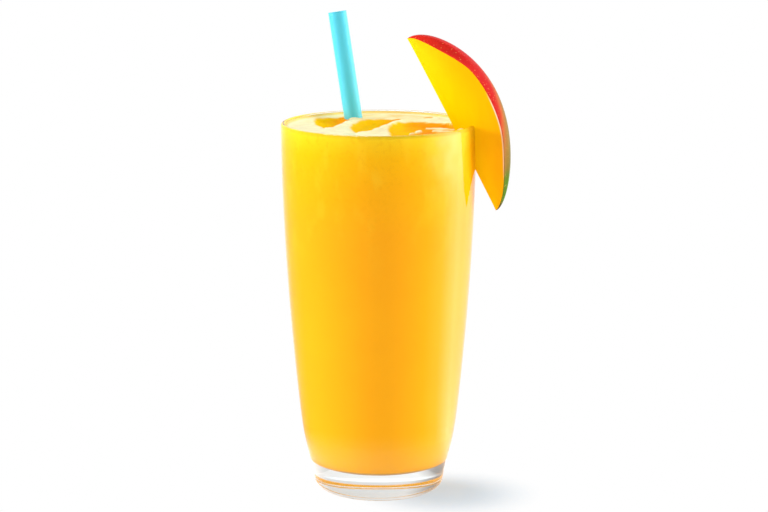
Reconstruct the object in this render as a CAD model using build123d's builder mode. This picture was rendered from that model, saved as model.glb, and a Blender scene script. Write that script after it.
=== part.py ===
from build123d import *
import os
from math import atan, cos, exp, hypot, pi, radians, sin, sqrt, tan

# A mango smoothie in its tall tumbler, with a straw and a mango wedge hung on the rim.
# Millimetres. The origin is the centre of the foot, on the table, and +Z is up.
# The wedge hangs on the +X side of the rim, and the straw stands towards +Y.

# Tumbler
glass_height = 160.0
rim_radius = 41.6
wall = 2.0
side_flare = 11.6  # how much narrower the foot would be, were the side one smooth sweep
flare_power = 1.85  # above 1, the side flares fast at the foot and slowly at the rim
foot_tuck = 2.4  # how far the heavy base is drawn in under that sweep
tuck_height = 18.0
tuck_power = 2.5
base_thickness = 11.6
floor_corner = 13.0  # radius where the inside wall turns into the floor
heel_radius = 3.8
ring_width = 3.2  # the flat ring that stands on the table
recess_depth = 1.8

# Smoothie
headspace = 2.5  # from the flat surface up to the rim
fold_count = 3
fold_height = 1.4  # a crest above the flat surface, and a trough below it
fold_spacing = 16.4
fold_start = -12.8  # the first crest's distance from the middle, across the folds
fold_lean = 18.8  # degrees from the Y axis towards +X
fold_shift = 4.0  # how far the folds' middles lie towards +Y
fold_width = 7.4  # of a crest or a trough, where it meets the flat surface
fold_length = 54.0  # over which a fold rises from the flat surface and sinks back
fold_sag = 4.5  # how far a fold bows towards -X over that length
fold_arc = 50.0  # degrees of ring: enough for its ends to pass through the flat surface

# Straw
straw_diameter = 8.0
straw_wall = 0.4
straw_length = 191.7
straw_side_lean = 8.6  # degrees, the top towards -X
straw_back_lean = 5.0  # degrees, the top towards +Y
straw_foot = (10.4, 15.74)  # where the middle of its lower end stands
straw_gap = 0.2  # at least this much between its lower end and the floor

# Mango wedge
wedge_length = 82.4  # along the straight inner edge
wedge_radius = 23.2  # from the inner edge out to the skin, where it is thickest
wedge_fullness = 0.65  # below 1, both ends are blunt
wedge_balance = 0.86  # below 1, the thickest place is nearer the top tip
wedge_tilt = 27.4  # degrees between the inner edge and the upright
wedge_front_turn = 32.0  # degrees from straight outwards to the front cut face
wedge_back_turn = 17.0  # degrees from straight outwards to the back cut face
wedge_rise = 36.2  # the top tip above the rim
wedge_reach = 29.7  # the top tip inside the rim's outer edge
wedge_offset = -6.0  # the inner edge's distance in Y from the tumbler's middle
slit_gap = 0.15  # between the slit's sides and the tumbler

lip_radius = wall / 2  # the rim is a half round
lip_height = glass_height - lip_radius
level = glass_height - headspace
fold_tube = (fold_width**2 / 4 + fold_height**2) / (2 * fold_height)
fold_ring_radius = fold_length**2 / (8 * hypot(fold_height, fold_sag))


def outer_radius(height):
    """Radius of the tumbler's outside at a height."""
    below_rim = max(1 - height / glass_height, 0)
    sweep = rim_radius - side_flare * below_rim**flare_power
    return sweep - foot_tuck * exp(-((height / tuck_height) ** tuck_power))


def side_points(low, high, inset, steps=14):
    """Points up the side between two heights, moved in from the outside by inset."""
    heights = [low + (high - low) * i / steps for i in range(steps + 1)]
    return [(outer_radius(height) - inset, height) for height in heights]


def floor_height(radius):
    """Height of the inside floor, with its rounded corner, at a distance from the middle."""
    flat_radius = outer_radius(base_thickness) - wall - floor_corner
    run = min(max(radius - flat_radius, 0), floor_corner)
    return base_thickness + floor_corner - sqrt(floor_corner**2 - run**2)


def fold_ring(distance, side):
    """Plane of the part ring that shapes a crest (side 1) or a trough (side -1)."""
    along = Vector(sin(radians(fold_lean)), cos(radians(fold_lean)), 0)
    across = Vector(along.Y, -along.X, 0)
    to_middle = (across * fold_sag - Vector(0, 0, side * fold_height)).normalized()
    tube_middle = Vector(0, 0, level + side * (fold_height - fold_tube))
    start = across * distance + along * fold_shift + tube_middle
    ring_normal = along.cross(to_middle)
    first_end = -to_middle.rotate(Axis((0, 0, 0), ring_normal), -fold_arc / 2)
    return Plane(origin=start + to_middle * fold_ring_radius, x_dir=first_end, z_dir=ring_normal)


def skin_distance(share):
    """Distance from the wedge's inner edge to its skin, at a share of the way down."""
    return wedge_radius * sin(pi * share**wedge_balance) ** wedge_fullness


os.makedirs("parts", exist_ok=True)

# ---- The space inside the tumbler ----
with BuildPart() as cavity:
    with BuildSketch(Plane.XZ):
        with BuildLine():
            inside = side_points(base_thickness, lip_height, wall)
            Spline(*inside)
            Polyline(inside[-1], (0, lip_height), (0, base_thickness), inside[0])
        make_face()
    revolve(axis=Axis.Z)
    fillet(cavity.edges().filter_by(GeomType.CIRCLE).sort_by(Axis.Z)[0], floor_corner)

# ---- Tumbler: the turned outside with a half-round rim, less the space inside ----
with BuildPart() as glass:
    with BuildSketch(Plane.XZ):
        with BuildLine():
            outside = side_points(heel_radius, lip_height, 0)
            lip_middle = outside[-1][0] - lip_radius
            lip_inside = (outside[-1][0] - wall, lip_height)
            ring_outside = outside[0][0] - heel_radius
            ring_inside = ring_outside - ring_width
            Spline(*outside)
            ThreePointArc(outside[-1], (lip_middle, glass_height), lip_inside)
            Polyline(lip_inside, (0, lip_height), (0, recess_depth))
            TangentArc((0, recess_depth), (ring_inside, 0), tangent=(1, 0))
            Line((ring_inside, 0), (ring_outside, 0))
            TangentArc((ring_outside, 0), outside[0], tangent=(1, 0))
        make_face()
    revolve(axis=Axis.Z)
    add(cavity.part, mode=Mode.SUBTRACT)
glass.part.label = "glass"
export_step(glass.part, "parts/glass.step")

# ---- Straw: a leaning tube with square ends, its foot just off the floor ----
straw_radius = straw_diameter / 2
straw_direction = Vector(-tan(radians(straw_side_lean)), tan(radians(straw_back_lean)), 1)
straw_lean = atan(hypot(straw_direction.X, straw_direction.Y))
end_drop = straw_radius * sin(straw_lean)  # the square end leans with the straw
foot_height = floor_height(hypot(*straw_foot) + straw_radius) + end_drop + straw_gap
straw_plane = Plane(origin=(*straw_foot, foot_height), z_dir=straw_direction)
with BuildPart() as straw:
    with BuildSketch(straw_plane):
        Circle(straw_radius)
        Circle(straw_radius - straw_wall, mode=Mode.SUBTRACT)
    extrude(amount=straw_length)
straw.part.label = "straw"
export_step(straw.part, "parts/straw.step")

# ---- Mango wedge: a sector of a body of revolution about its inner edge ----
tilt = radians(wedge_tilt)
top_tip = Vector(rim_radius - wedge_reach, wedge_offset, glass_height + wedge_rise)
edge_direction = Vector(sin(tilt), 0, -cos(tilt))
outward = Vector(cos(tilt), 0, sin(tilt))
front = outward.rotate(Axis((0, 0, 0), edge_direction), wedge_front_turn)
front_face = Plane(origin=top_tip, x_dir=edge_direction, z_dir=edge_direction.cross(front))
with BuildPart() as whole_wedge:
    with BuildSketch(front_face):
        with BuildLine():
            shares = [(1 - cos(pi * i / 16)) / 2 for i in range(1, 16)]
            skin = [(share * wedge_length, skin_distance(share)) for share in shares]
            Spline((0, 0), *skin, (wedge_length, 0))
            Line((wedge_length, 0), (0, 0))
        make_face()
    revolve(axis=Axis(top_tip, -edge_direction), revolution_arc=wedge_front_turn + wedge_back_turn)

# The slit is the tumbler's wall and rim, a little thicker, cut out of the wedge.
with BuildPart() as slit:
    with BuildSketch(Plane.XZ):
        with BuildLine():
            slit_low = (top_tip + edge_direction * wedge_length).Z
            slit_outside = side_points(slit_low, lip_height, -slit_gap)
            slit_inside = side_points(slit_low, lip_height, wall + slit_gap)
            Spline(*slit_outside)
            ThreePointArc(slit_outside[-1], (lip_middle, glass_height + slit_gap), slit_inside[-1])
            Spline(*reversed(slit_inside))
            Line(slit_inside[0], slit_outside[0])
        make_face()
    revolve(axis=Axis.Z)

with BuildPart() as mango_wedge:
    add(whole_wedge.part)
    add(slit.part, mode=Mode.SUBTRACT)
mango_wedge.part.label = "mango_wedge"
export_step(mango_wedge.part, "parts/mango_wedge.step")

# ---- Smoothie: fills the tumbler up to a folded surface, round the straw and the wedge ----
crests = [fold_start + fold_spacing * i for i in range(fold_count)]
troughs = [crest - fold_spacing / 2 for crest in crests]
with BuildPart() as smoothie:
    add(cavity.part)
    split(bisect_by=Plane.XY.offset(level), keep=Keep.BOTTOM)
    with Locations([fold_ring(crest, 1) for crest in crests]):
        Torus(fold_ring_radius, fold_tube, major_angle=fold_arc, align=None)
    with Locations([fold_ring(trough, -1) for trough in troughs]):
        Torus(fold_ring_radius, fold_tube, major_angle=fold_arc, align=None, mode=Mode.SUBTRACT)
    add(cavity.part, mode=Mode.INTERSECT)
    add(straw.part, mode=Mode.SUBTRACT)
    add(whole_wedge.part, mode=Mode.SUBTRACT)
smoothie.part.label = "smoothie"
export_step(smoothie.part, "parts/smoothie.step")
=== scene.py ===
"""Looks of a mango smoothie in a tall tumbler, with its straw and a mango wedge on the rim.

Every piece is a surface worked out with numpy, in metres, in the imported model's frame: the
origin is the centre of the tumbler's foot, +Z is up, the wedge hangs on the +X side and the
straw stands towards +Y.
"""

import logging
import math
from dataclasses import dataclass, field
from enum import Enum
from typing import Sequence

import bmesh
import bpy
import numpy as np
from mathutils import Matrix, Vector


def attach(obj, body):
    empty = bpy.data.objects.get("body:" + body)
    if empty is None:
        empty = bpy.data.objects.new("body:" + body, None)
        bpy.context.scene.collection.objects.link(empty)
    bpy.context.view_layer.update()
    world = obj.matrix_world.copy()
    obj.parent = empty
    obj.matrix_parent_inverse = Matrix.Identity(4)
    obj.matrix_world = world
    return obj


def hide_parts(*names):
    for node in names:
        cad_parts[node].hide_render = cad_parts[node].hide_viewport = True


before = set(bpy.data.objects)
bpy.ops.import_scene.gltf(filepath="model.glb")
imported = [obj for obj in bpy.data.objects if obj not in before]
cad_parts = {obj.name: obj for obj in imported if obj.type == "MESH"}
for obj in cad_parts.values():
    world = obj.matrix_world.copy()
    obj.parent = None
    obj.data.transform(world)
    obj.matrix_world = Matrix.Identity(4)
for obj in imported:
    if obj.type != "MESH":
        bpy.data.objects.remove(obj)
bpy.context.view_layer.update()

logging.basicConfig(level=logging.INFO, format="%(message)s")
log = logging.getLogger("smoothie")

MM = 0.001
BODY = "root"

Array = np.ndarray
Colour = tuple[float, float, float]
Shades = tuple[tuple[float, Colour], ...]
Stops = tuple[tuple[float, float], ...]


class Slot(Enum):
    """The record's material slots."""

    GLASS = "glass"
    SMOOTHIE = "smoothie"
    STRAW = "straw"
    MANGO = "mango"


# ---------------------------------------------------------------------------
# Number helpers
# ---------------------------------------------------------------------------


def srgb(red: float, green: float, blue: float) -> Colour:
    """Turns a colour written as 0 to 255 on a screen into the renderer's linear numbers.

    Args:
        red: Screen red.
        green: Screen green.
        blue: Screen blue.

    Returns:
        The linear colour: each share to the power 2.4 past a short straight toe.
    """
    share = np.array([red, green, blue]) / 255.0
    linear = np.where(share <= 0.04045, share / 12.92, ((share + 0.055) / 1.055) ** 2.4)
    return tuple(float(value) for value in linear)


def smooth_step(low: float, high: float, value: Array) -> Array:
    """Rises from 0 at low to 1 at high along 3t^2 - 2t^3.

    Args:
        low: Where the rise begins.
        high: Where it ends.
        value: What is measured.

    Returns:
        The share risen, the same shape as value.
    """
    share = np.clip((value - low) / (high - low), 0.0, 1.0)
    return share * share * (3.0 - 2.0 * share)


def ripple(x: Array, y: Array, scale: float, seed: int, waves: int = 7) -> Array:
    """Smooth random relief: a mean of sine waves, each with its own heading and length.

    Args:
        x: First coordinate.
        y: Second coordinate, the same shape.
        scale: The middle wavelength, in the coordinates' unit.
        seed: Picks the waves.
        waves: How many are added.

    Returns:
        Relief of about -1 to 1.
    """
    draw = np.random.default_rng(seed)
    heading = draw.uniform(0.0, math.tau, waves)
    length = scale * draw.uniform(0.6, 1.7, waves)
    start = draw.uniform(0.0, math.tau, waves)
    total = np.zeros(np.broadcast(x, y).shape)
    for turn, span, phase in zip(heading, length, start):
        along = x * math.cos(turn) + y * math.sin(turn)
        total = total + np.sin(math.tau * along / span + phase)
    return total / math.sqrt(waves)


# ---------------------------------------------------------------------------
# Mesh helpers
# ---------------------------------------------------------------------------


def grid_faces(rows: int, columns: int, wrap: bool) -> Array:
    """Four corner numbers of each cell of a grid of points.

    Args:
        rows: Points along the first parameter.
        columns: Points along the second.
        wrap: Whether the last column joins the first.

    Returns:
        An array of quads, wound so that rows x columns gives the normal.
    """
    row = np.arange(rows - 1)[:, None]
    column = np.arange(columns if wrap else columns - 1)[None, :]
    after = (column + 1) % columns
    corners = (
        row * columns + column,
        (row + 1) * columns + column,
        (row + 1) * columns + after,
        row * columns + after,
    )
    return np.stack(np.broadcast_arrays(*corners), axis=-1).reshape(-1, 4)


def fan_faces(ring: Array, pole: int, flip: bool) -> Array:
    """Triangles from a closed ring of points to one pole.

    Args:
        ring: The ring's point numbers, in order.
        pole: The pole's number.
        flip: Turns the triangles over.

    Returns:
        An array of triangles.
    """
    after = np.roll(ring, -1)
    middle = np.full_like(ring, pole)
    order = (middle, after, ring) if flip else (middle, ring, after)
    return np.stack(order, axis=-1)


def make_object(
    name: str, points: Array, faces: Sequence[Array], smooth: bool = True
) -> bpy.types.Object:
    """Puts points and faces into a mesh object at the origin and links it.

    Args:
        name: The piece's name.
        points: One row of x, y, z for each point, in metres.
        faces: Arrays of quads or triangles.
        smooth: Whether it is shaded smooth.

    Returns:
        The new object.
    """
    mesh = bpy.data.meshes.new(name)
    polygons = [face for array in faces for face in array.tolist()]
    mesh.from_pydata(points.reshape(-1, 3).tolist(), [], polygons)
    mesh.update()
    mesh.validate()
    mesh.polygons.foreach_set("use_smooth", [smooth] * len(mesh.polygons))
    piece = bpy.data.objects.new(name, mesh)
    bpy.context.scene.collection.objects.link(piece)
    return piece


def spun(radius: Array, height: Array, segments: int) -> Array:
    """A profile spun round Z: x = radius cos(turn), y = radius sin(turn), z = height.

    Args:
        radius: The profile's distances from the axis.
        height: Its heights.
        segments: Steps round the axis.

    Returns:
        Points by place in the profile, step round the axis, and x, y, z.
    """
    turn = np.linspace(0.0, math.tau, segments, endpoint=False)
    ring = radius[:, None]
    lifted = np.broadcast_to(height[:, None], (len(radius), segments))
    return np.stack((ring * np.cos(turn), ring * np.sin(turn), lifted), axis=-1)


def turned(name: str, radius: Array, height: Array, segments: int) -> bpy.types.Object:
    """A closed turned form: a profile spun round Z, with one point at each pole.

    Args:
        name: The piece's name.
        radius: The profile's distances from the axis; the first and last are 0.
        height: The profile's heights, running up the outside first.
        segments: Steps round the axis.

    Returns:
        The object.
    """
    points = spun(radius[1:-1], height[1:-1], segments).reshape(-1, 3)
    rows = len(radius) - 2
    first, last = rows * segments, rows * segments + 1
    poles = np.array([[0.0, 0.0, height[0]], [0.0, 0.0, height[-1]]])
    around = np.arange(segments)
    faces = (
        grid_faces(rows, segments, True)[:, ::-1],
        fan_faces(around, first, True),
        fan_faces((rows - 1) * segments + around, last, False),
    )
    return make_object(name, np.vstack((points, poles)), faces)


def arc(
    centre: tuple[float, float], radius: float, start: float, end: float, steps: int
) -> Array:
    """Points of a round stretch of a profile.

    Args:
        centre: Its middle, as distance from the axis and height.
        radius: Its radius.
        start: First direction, in degrees from outwards towards up.
        end: Last direction.
        steps: How many points.

    Returns:
        Rows of distance and height.
    """
    turn = np.radians(np.linspace(start, end, steps))
    return np.stack(
        (centre[0] + radius * np.cos(turn), centre[1] + radius * np.sin(turn)), axis=-1
    )


# ---------------------------------------------------------------------------
# Node helpers
# ---------------------------------------------------------------------------


class Nodes:
    """A short way to write the node tree of a material or of the world."""

    def __init__(self, owner: bpy.types.ID) -> None:
        """Starts an empty tree in a material or a world."""
        owner.use_nodes = True
        self.owner = owner
        self.tree = owner.node_tree
        self.tree.nodes.clear()
        kind = "World" if isinstance(owner, bpy.types.World) else "Material"
        self.output = self.tree.nodes.new("ShaderNodeOutput" + kind)

    @classmethod
    def material(cls, name: str) -> "Nodes":
        """Starts the tree of a new material."""
        return cls(bpy.data.materials.new(name))

    def add(self, kind: str, **inputs: object) -> bpy.types.Node:
        """Adds a node and fills its inputs.

        Args:
            kind: The node's type name, after "ShaderNode".
            **inputs: Input names with _ for a space; a socket is linked, a value is set.

        Returns:
            The node.
        """
        node = self.tree.nodes.new("ShaderNode" + kind)
        for key, value in inputs.items():
            self.feed(node.inputs[key.replace("_", " ")], value)
        return node

    def feed(self, socket: bpy.types.NodeSocket, value: object) -> None:
        """Links a socket to another, or sets its own value."""
        if isinstance(value, bpy.types.NodeSocket):
            self.tree.links.new(value, socket)
        elif isinstance(value, tuple) and len(value) == 3 and socket.type == "RGBA":
            socket.default_value = (*value, 1.0)
        else:
            socket.default_value = value

    def maths(self, operation: str, *values: object) -> bpy.types.NodeSocket:
        """A Math node's result.

        Args:
            operation: Its operation.
            *values: Sockets or numbers for its inputs, in order.

        Returns:
            The result's socket.
        """
        node = self.tree.nodes.new("ShaderNodeMath")
        node.operation = operation
        for socket, value in zip(node.inputs, values):
            self.feed(socket, value)
        return node.outputs[0]

    def noise(
        self, scale: float, detail: float = 3.0, stretch: Colour = (1.0, 1.0, 1.0)
    ) -> bpy.types.NodeSocket:
        """Noise on Object coordinates.

        Args:
            scale: Features to the metre.
            detail: Octaves.
            stretch: How many times finer it is along each axis.

        Returns:
            The noise, about 0 to 1.
        """
        place = self.add("TexCoord")
        mapping = self.add("Mapping", Vector=place.outputs["Object"], Scale=stretch)
        node = self.add("TexNoise", Vector=mapping.outputs[0], Scale=scale, Detail=detail)
        return node.outputs["Fac"]

    def ramp(
        self, factor: bpy.types.NodeSocket, stops: Sequence[tuple[float, Colour]]
    ) -> bpy.types.NodeSocket:
        """A colour ramp.

        Args:
            factor: What runs along it.
            stops: Places from 0 to 1, each with its colour.

        Returns:
            The colour.
        """
        node = self.add("ValToRGB", Fac=factor)
        elements = node.color_ramp.elements
        while len(elements) > 1:
            elements.remove(elements[-1])
        elements[0].position, elements[0].color = stops[0][0], (*stops[0][1], 1.0)
        for place, colour in stops[1:]:
            elements.new(place).color = (*colour, 1.0)
        return node.outputs["Color"]

    def mix(self, factor: object, first: object, second: object) -> bpy.types.NodeSocket:
        """Mixes two colours.

        Args:
            factor: Share of the second.
            first: A colour or socket.
            second: A colour or socket.

        Returns:
            The mixed colour.
        """
        node = self.tree.nodes.new("ShaderNodeMix")
        node.data_type = "RGBA"
        # Sockets 6 and 7 and result 2 are the ones for colours.
        for socket, value in ((0, factor), (6, first), (7, second)):
            self.feed(node.inputs[socket], value)
        return node.outputs[2]

    def read(self, attribute: str) -> bpy.types.NodeSocket:
        """A number stored at each point of the mesh."""
        node = self.tree.nodes.new("ShaderNodeAttribute")
        node.attribute_name = attribute
        return node.outputs["Fac"]

    def bump(
        self, height: bpy.types.NodeSocket, depth: float, strength: float = 1.0
    ) -> bpy.types.NodeSocket:
        """Relief too fine for the mesh.

        Args:
            height: Its height, 0 to 1.
            depth: What 1 stands for, in metres.
            strength: How much of it shows.

        Returns:
            The normal.
        """
        node = self.add("Bump", Height=height, Distance=depth, Strength=strength)
        return node.outputs["Normal"]

    def rise(self, value: bpy.types.NodeSocket, low: float, high: float) -> bpy.types.NodeSocket:
        """A smooth rise from 0 at low to 1 at high.

        Args:
            value: What is measured.
            low: Where the rise begins.
            high: Where it ends.

        Returns:
            The share risen.
        """
        node = self.tree.nodes.new("ShaderNodeMapRange")
        node.interpolation_type = "SMOOTHSTEP"
        for socket, number in zip(node.inputs, (value, low, high, 0.0, 1.0)):
            self.feed(socket, number)
        return node.outputs[0]

    def finish(self, shader: bpy.types.NodeSocket) -> bpy.types.ID:
        """Puts the shader on the output and gives the material or world."""
        self.tree.links.new(shader, self.output.inputs["Surface"])
        return self.owner


# ---------------------------------------------------------------------------
# Finishes
# ---------------------------------------------------------------------------


@dataclass(frozen=True)
class ClearGlass:
    """Clear polished glass that lets lamps light what is behind it."""

    tint: Colour = (0.985, 0.995, 0.992)
    ior: float = 1.5

    def material(self) -> bpy.types.Material:
        """Builds the material: glass to the eye, transparent to shadow and diffuse rays."""
        nodes = Nodes.material("clear_glass")
        glass = nodes.add("BsdfGlass", Color=self.tint, Roughness=0.0, IOR=self.ior)
        clear = nodes.add("BsdfTransparent", Color=(1.0, 1.0, 1.0))
        path = nodes.add("LightPath")
        shade = nodes.add("MixShader", Fac=path.outputs["Is Shadow Ray"])
        nodes.feed(shade.inputs[1], glass.outputs[0])
        nodes.feed(shade.inputs[2], clear.outputs[0])
        bounce = nodes.add("MixShader", Fac=path.outputs["Is Diffuse Ray"])
        nodes.feed(bounce.inputs[1], shade.outputs[0])
        nodes.feed(bounce.inputs[2], clear.outputs[0])
        return nodes.finish(bounce.outputs[0])


@dataclass(frozen=True)
class MangoPuree:
    """Thick mango smoothie: orange where it is deep, yellow near the rim, creamy on top with froth and
    a painted reflection.
    """

    body: Shades = (
        (0.0, srgb(254, 180, 24)),
        (0.12, srgb(254, 173, 21)),
        (0.72, srgb(254, 168, 20)),
        (0.86, srgb(254, 174, 10)),
        (0.94, srgb(253, 184, 6)),
        (0.985, srgb(254, 202, 24)),
        (1.0, srgb(255, 214, 38)),
    )
    haze: Colour = srgb(255, 190, 26)
    bubbles: Colour = srgb(255, 226, 60)
    pulp: Colour = srgb(238, 160, 0)
    ember: Colour = srgb(252, 158, 22)
    furrow: Colour = srgb(255, 202, 14)
    # cream of the top: partly froth, partly a painted reflection of the bright backdrop
    foam_and_reflection: Colour = srgb(255, 246, 196)
    peach: Colour = srgb(249, 221, 150)
    # pale colour of the painted highlight high up on the right of the drink's side
    film_and_highlight: Colour = srgb(246, 206, 100)
    # painted shade for the flat middle of the drink's bottom
    underside_shade: Colour = srgb(190, 158, 112)
    coat_roughness: float = 0.12
    coat_ior: float = 1.36

    def material(self) -> bpy.types.Material:
        """Builds the material from the attributes for height, top, cream share, warmth, the painted
        highlight and the painted shade under the drink.
        """
        nodes = Nodes.material("mango_puree")
        height, top, foam_and_reflection = nodes.read("height"), nodes.read("top"), nodes.read("foam_and_reflection")
        cloud = nodes.noise(26.0, 4.0)
        film_and_highlight = nodes.noise(170.0, 4.0, (1.0, 1.0, 0.45))
        fleck = nodes.noise(520.0, 2.0)
        upper = nodes.rise(height, 0.5, 0.92)
        blotch = nodes.maths("MULTIPLY", nodes.rise(film_and_highlight, 0.48, 0.72), upper)
        spread = nodes.maths("MULTIPLY", nodes.rise(cloud, 0.3, 0.7), 0.16)
        side = nodes.mix(spread, nodes.ramp(height, self.body), self.haze)
        filmed = nodes.mix(nodes.maths("MULTIPLY", blotch, 0.16), side, self.bubbles)
        speck = nodes.maths("MULTIPLY", nodes.rise(fleck, 0.52, 0.7), upper)
        specked = nodes.mix(nodes.maths("MULTIPLY", speck, 0.22), filmed, self.pulp)
        # painted shade on the flat middle of the drink's bottom
        shaded = nodes.mix(nodes.read("under"), specked, self.underside_shade)
        # painted highlight: a pale patch high up on the right of the front
        highlighted = nodes.mix(nodes.read("painted_highlight"), shaded, self.film_and_highlight)
        warm = nodes.read("warm")
        bottom = nodes.mix(warm, self.furrow, self.ember)
        # cream on the top, partly froth and partly a painted reflection of the bright backdrop, peach
        # towards the back
        surface = nodes.mix(foam_and_reflection, bottom, nodes.mix(warm, self.foam_and_reflection, self.peach))
        colour = nodes.mix(top, highlighted, surface)
        fine = nodes.maths("MULTIPLY", fleck, 0.35)
        grain = nodes.maths("ADD", nodes.maths("MULTIPLY", film_and_highlight, 0.65), fine)
        wet = nodes.maths("MULTIPLY", top, nodes.maths("MULTIPLY_ADD", foam_and_reflection, 0.4, 0.05))
        shader = nodes.add(
            "BsdfPrincipled",
            Base_Color=colour,
            Roughness=0.45,
            Coat_Weight=wet,
            Normal=nodes.bump(grain, 0.0003, 0.35),
        )
        shader.inputs["Specular IOR Level"].default_value = 0.0
        shader.inputs["Coat Roughness"].default_value = self.coat_roughness
        shader.inputs["Coat IOR"].default_value = self.coat_ior
        return nodes.finish(shader.outputs[0])


@dataclass(frozen=True)
class StrawPlastic:
    """Smooth light blue straw plastic with faint lengthwise streaks."""

    colour: Colour = srgb(86, 213, 237)
    pale: Colour = srgb(100, 220, 242)
    roughness: float = 0.3
    ior: float = 1.49
    coat: float = 0.8
    coat_roughness: float = 0.1

    def material(self) -> bpy.types.Material:
        """Builds the material, with faint streaks along the straw."""
        nodes = Nodes.material("straw_plastic")
        streak = nodes.noise(900.0, 2.0, (1.0, 1.0, 0.02))
        colour = nodes.mix(nodes.maths("MULTIPLY", streak, 0.25), self.colour, self.pale)
        shader = nodes.add(
            "BsdfPrincipled",
            Base_Color=colour,
            Roughness=self.roughness,
            Coat_Weight=self.coat,
            Normal=nodes.bump(streak, 0.00005, 0.3),
        )
        shader.inputs["IOR"].default_value = self.ior
        shader.inputs["Coat Roughness"].default_value = self.coat_roughness
        return nodes.finish(shader.outputs[0])


@dataclass(frozen=True)
class MangoFruit:
    """Ripe mango: moist yellow flesh and a skin that goes from red to green."""

    rind: Shades = (
        (0.0, srgb(228, 50, 32)),
        (0.1, srgb(222, 44, 32)),
        (0.26, srgb(200, 34, 32)),
        (0.42, srgb(192, 30, 28)),
        (0.48, srgb(190, 52, 36)),
        (0.53, srgb(192, 90, 44)),
        (0.6, srgb(162, 108, 48)),
        (0.68, srgb(143, 113, 48)),
        (0.76, srgb(122, 106, 46)),
        (1.0, srgb(126, 116, 46)),
    )
    inner: Shades = (
        (0.0, srgb(255, 214, 14)),
        (0.3, srgb(255, 210, 2)),
        (0.5, srgb(255, 207, 0)),
        (0.66, srgb(255, 208, 8)),
        (1.0, srgb(255, 209, 12)),
    )
    outer: Shades = (
        (0.0, srgb(254, 206, 12)),
        (0.25, srgb(254, 179, 2)),
        (0.5, srgb(254, 178, 2)),
        (0.68, srgb(254, 179, 10)),
        (1.0, srgb(254, 196, 12)),
    )
    unripe: Colour = srgb(88, 122, 36)
    stem: Colour = srgb(96, 78, 40)
    # painted highlight: a pale line in the flesh along its edge next to the skin
    lip: Colour = srgb(255, 224, 200)
    lenticel: Colour = srgb(250, 190, 120)
    scatter: Colour = (1.0, 0.5, 0.12)
    ior: float = 1.4

    def skin(self, nodes: Nodes, along: object, across: object) -> bpy.types.NodeSocket:
        """The skin's colour: red, orange, tan, olive and green down the wedge and round it.

        Args:
            nodes: The material being written.
            along: Share of the way down the wedge.
            across: Share of the way round the skin, from the front cut.

        Returns:
            The colour.
        """
        cloud = nodes.noise(90.0, 3.0)
        wander = nodes.maths("MULTIPLY", nodes.maths("SUBTRACT", cloud, 0.5), 0.16)
        ripeness = nodes.maths("MULTIPLY_ADD", across, 0.5, nodes.maths("ADD", along, wander))
        ripeness = nodes.maths("MULTIPLY", ripeness, 0.8)
        verdure = nodes.rise(nodes.maths("ADD", along, wander), 0.79, 0.9)
        greened = nodes.mix(verdure, nodes.ramp(ripeness, self.rind), self.unripe)
        browned = nodes.mix(nodes.rise(along, 0.955, 0.99), greened, self.stem)
        dots = nodes.rise(nodes.noise(1400.0, 0.0), 0.72, 0.8)
        return nodes.mix(nodes.maths("MULTIPLY", dots, 0.35), browned, self.lenticel)

    def flesh(self, nodes: Nodes, along: object, depth: object) -> bpy.types.NodeSocket:
        """The flesh's colour: bright yellow at the inner edge, deeper outwards and downwards.

        Args:
            nodes: The material being written.
            along: Share of the way down the wedge.
            depth: Share of the way in from the skin.

        Returns:
            The colour.
        """
        streak = nodes.noise(240.0, 3.0, (1.0, 1.0, 0.22))
        drift = nodes.maths("MULTIPLY", nodes.maths("SUBTRACT", streak, 0.5), 0.3)
        share = nodes.rise(nodes.maths("ADD", depth, drift), 0.08, 0.9)
        return nodes.mix(share, nodes.ramp(along, self.outer), nodes.ramp(along, self.inner))

    def material(self) -> bpy.types.Material:
        """Builds the material from the attributes along, across, depth, skin and lip; lip marks a
        painted highlight.
        """
        nodes = Nodes.material("mango_fruit")
        along, across = nodes.read("along"), nodes.read("across")
        skin, lip = nodes.read("skin"), nodes.read("lip")
        rind = self.skin(nodes, along, across)
        flesh = self.flesh(nodes, along, nodes.read("depth"))
        # painted highlight along the flesh's edge next to the skin
        edge_highlight = nodes.mix(lip, flesh, self.lip)
        colour = nodes.mix(skin, edge_highlight, rind)
        fibre = nodes.noise(300.0, 3.0, (1.0, 1.0, 0.25))
        cloud = nodes.noise(1100.0, 1.0)
        relief = nodes.maths("MULTIPLY_ADD", cloud, 0.35, nodes.maths("MULTIPLY", fibre, 0.65))
        shader = nodes.add(
            "BsdfPrincipled",
            Base_Color=colour,
            Roughness=nodes.maths("MULTIPLY_ADD", skin, -0.08, 0.46),
            Subsurface_Weight=0.06,
            Subsurface_Scale=0.0015,
            Normal=nodes.bump(relief, 0.0002, 0.4),
        )
        shader.inputs["Subsurface Radius"].default_value = self.scatter
        shader.inputs["Specular IOR Level"].default_value = 0.05
        shader.inputs["IOR"].default_value = self.ior
        return nodes.finish(shader.outputs[0])


# ---------------------------------------------------------------------------
# Sub-assemblies
# ---------------------------------------------------------------------------


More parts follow.
